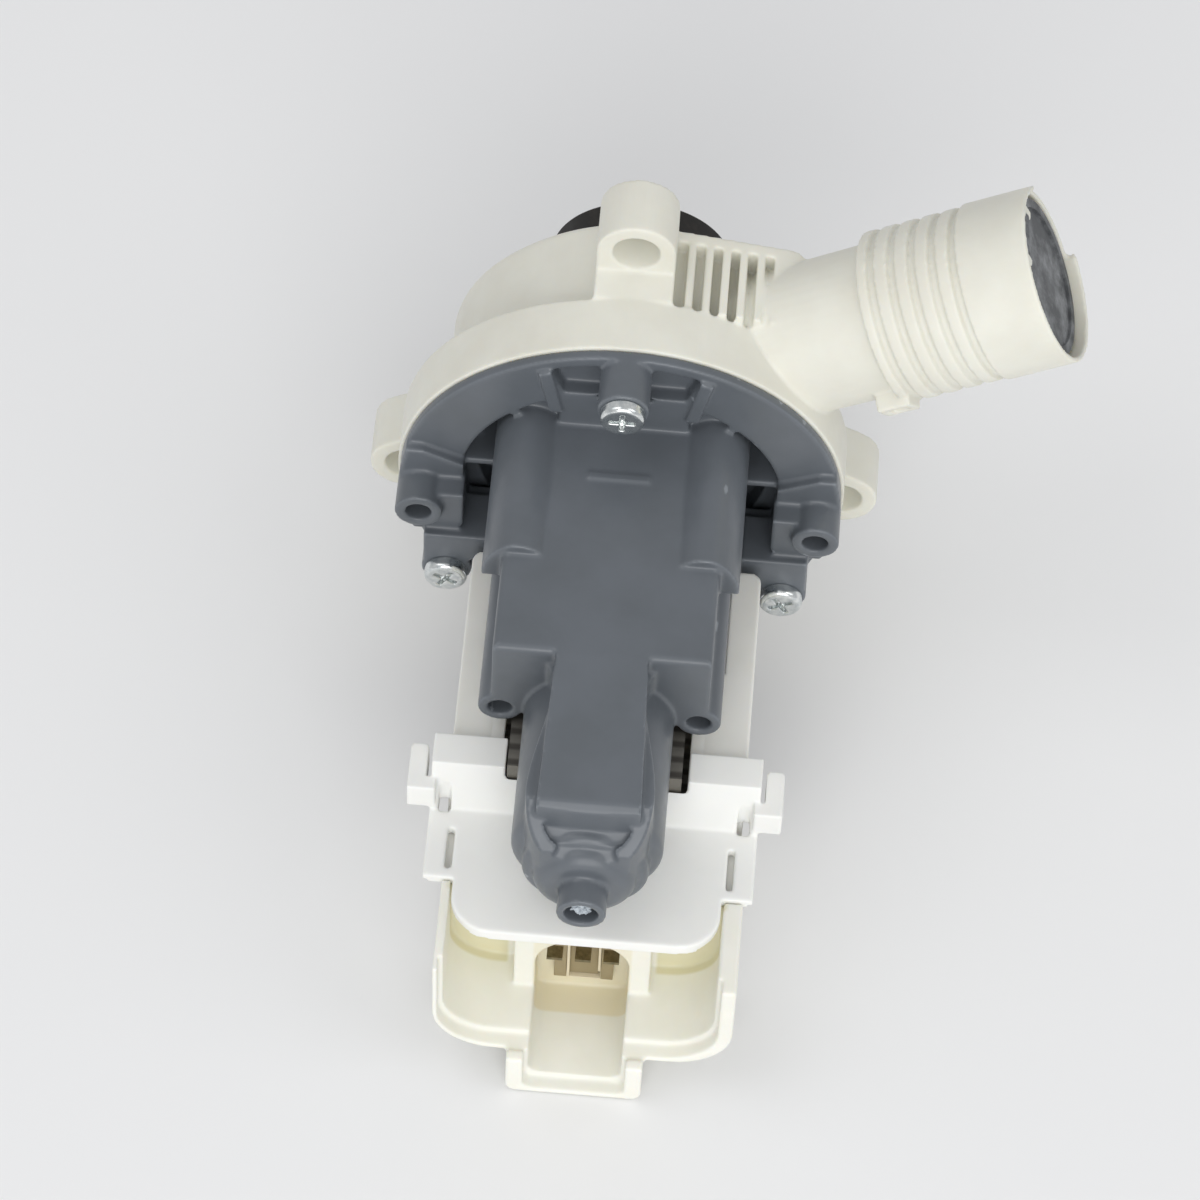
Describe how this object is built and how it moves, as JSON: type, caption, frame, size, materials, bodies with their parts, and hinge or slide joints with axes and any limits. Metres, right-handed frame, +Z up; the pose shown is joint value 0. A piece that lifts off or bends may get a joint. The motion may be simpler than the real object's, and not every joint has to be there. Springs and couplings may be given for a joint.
{
  "type": "washer drain pump",
  "caption": "Small electric drain pump for a washing machine, with a chamber, hose outlet with flap, rotor canister, stator and plug socket.",
  "frame": {"origin": "on the pump axis, in the plane of the front faces of the three mounting bosses", "axes": "+X towards the hose outlet's side, +Y along the pump axis towards the inlet, +Z up, away from the plug socket's floor"},
  "size_m": [0.1269, 0.1475, 0.1115],
  "materials": {
    "volute_plastic": "satin cream moulding",
    "housing_plastic": "satin blue-grey moulding",
    "screw_steel": "bright zinc plate",
    "seal_rubber": "matt moulded rubber",
    "inlet_rubber": "matt moulded rubber",
    "flap_rubber": "mottled matt rubber",
    "pin_steel": "ground",
    "holder_plastic": "glass-filled moulding",
    "sintered_bronze": "oil-filled sinter",
    "washer_plastic": "smooth",
    "shaft_steel": "ground",
    "sleeve_plastic": "moulded on the shaft",
    "magnet_ferrite": "ground ferrite",
    "dog_rubber": "hard rubber",
    "impeller_plastic": "glass-filled moulding",
    "core_steel": "varnished laminations",
    "bobbin_plastic": "moulded",
    "coil_copper": "enamelled wire",
    "protector_plastic": "moulded",
    "cover_plastic": "satin off-white moulding",
    "connector_plastic": "satin ivory moulding",
    "terminal_brass": "tinned",
    "guard_plastic": "satin white moulding"
  },
  "bodies": {
    "pump": {"volute_housing": "volute_plastic", "motor_housing": "housing_plastic", "flange_screws": "screw_steel", "body_seal_ring": "seal_rubber", "inlet_seal": "inlet_rubber", "flap_pin": "pin_steel", "bearing_holder": "holder_plastic", "front_bearing": "sintered_bronze", "front_grommet": "seal_rubber", "rear_bearing": "sintered_bronze", "rear_grommet": "seal_rubber", "shaft_seal": "seal_rubber", "front_thrust_washer": "washer_plastic", "rear_thrust_washer": "washer_plastic", "stator_core": "core_steel", "left_bobbin": "bobbin_plastic", "left_coil": "coil_copper", "right_bobbin": "bobbin_plastic", "right_coil": "coil_copper", "thermal_protector": "protector_plastic", "coil_cover": "cover_plastic", "connector_housing": "connector_plastic", "terminal_pins": "terminal_brass", "terminal_guard": "guard_plastic"},
    "rotor": {"rotor_shaft": "shaft_steel", "rotor_sleeve": "sleeve_plastic", "rotor_magnet": "magnet_ferrite", "drive_dog": "dog_rubber"},
    "impeller": {"impeller": "impeller_plastic"},
    "flap": {"outlet_flap": "flap_rubber"}
  },
  "joints": [
    {"name": "rotor_spin", "type": "hinge", "parent": "pump", "child": "rotor", "pos_m": [0, 0, 0], "axis": [0, 1, 0], "continuous": true},
    {"name": "impeller_lost_motion", "type": "hinge", "parent": "rotor", "child": "impeller", "pos_m": [0, 0, 0], "axis": [0, 1, 0], "range_deg": [0, 240]},
    {"name": "flap_swing", "type": "hinge", "parent": "pump", "child": "flap", "pos_m": [0.06542, -0.00825, 0.05622], "axis": [0.0507, -0.9984, 0.0254], "range_deg": [0, 45]}
  ]
}
